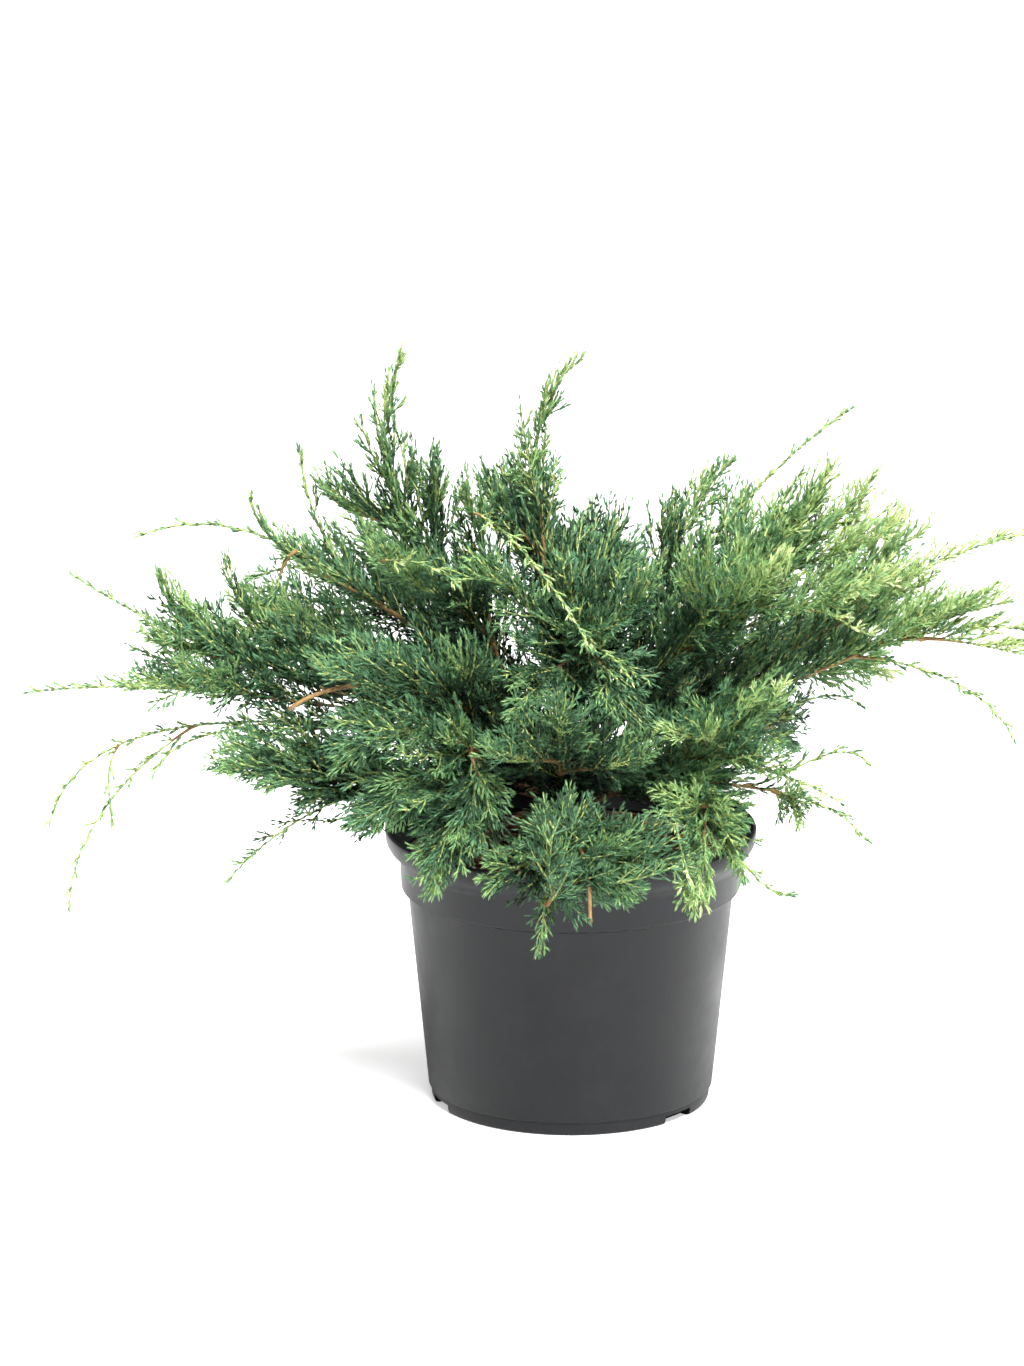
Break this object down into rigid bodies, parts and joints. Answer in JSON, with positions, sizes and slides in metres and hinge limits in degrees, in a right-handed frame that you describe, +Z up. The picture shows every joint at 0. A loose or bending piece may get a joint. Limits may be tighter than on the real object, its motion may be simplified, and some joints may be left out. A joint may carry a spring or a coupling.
{
  "type": "potted juniper shrub",
  "caption": "Low, wide-spreading juniper shrub with arching plumes of grey-green scale foliage, standing in a round nursery pot filled with soil",
  "frame": {"origin": "the middle of the pot's flat underside", "axes": "+Z up, -Y towards the viewer of the picture, +X to the viewer's right"},
  "size_m": [0.5171, 0.3815, 0.3884],
  "materials": {
    "pot": "matte charcoal moulded plastic",
    "soil": "dark crumbly potting soil with bark chips",
    "bark": "thin flaking brown bark",
    "foliage": "matte grey-green scale leaves"
  },
  "bodies": {
    "root": {"bough_back": "bark", "bough_back_left": "bark", "bough_back_low": "bark", "bough_back_right": "bark", "bough_centre": "bark", "bough_front": "bark", "bough_front_left": "bark", "bough_front_right": "bark", "bough_front_upper": "bark", "bough_left": "bark", "bough_left_low": "bark", "bough_left_upper": "bark", "bough_right": "bark", "bough_right_low": "bark", "bough_right_upper": "bark", "mass_back_crest": "foliage", "mass_back_left_side": "foliage", "mass_back_left_skirt": "foliage", "mass_back_left_top": "foliage", "mass_back_right_side": "foliage", "mass_back_right_skirt": "foliage", "mass_back_right_top": "foliage", "mass_back_skirt": "foliage", "mass_back_whips": "foliage", "mass_centre_back": "foliage", "mass_centre_drape": "foliage", "mass_centre_fan": "foliage", "mass_centre_spire": "foliage", "mass_front_fan": "foliage", "mass_front_left_skirt": "foliage", "mass_front_right_skirt": "foliage", "mass_front_skirt": "foliage", "mass_left_arm": "foliage", "mass_left_comb": "foliage", "mass_left_crest": "foliage", "mass_left_fan": "foliage", "mass_left_skirt": "foliage", "mass_left_spire": "foliage", "mass_left_tips": "foliage", "mass_left_whips": "foliage", "mass_right_crest": "foliage", "mass_right_crown": "foliage", "mass_right_front": "foliage", "mass_right_mid": "foliage", "mass_right_outer": "foliage", "mass_right_skirt": "foliage", "mass_right_tips": "foliage", "mass_right_under": "foliage", "pot": "pot", "soil": "soil", "trunk": "bark"}
  },
  "joints": []
}
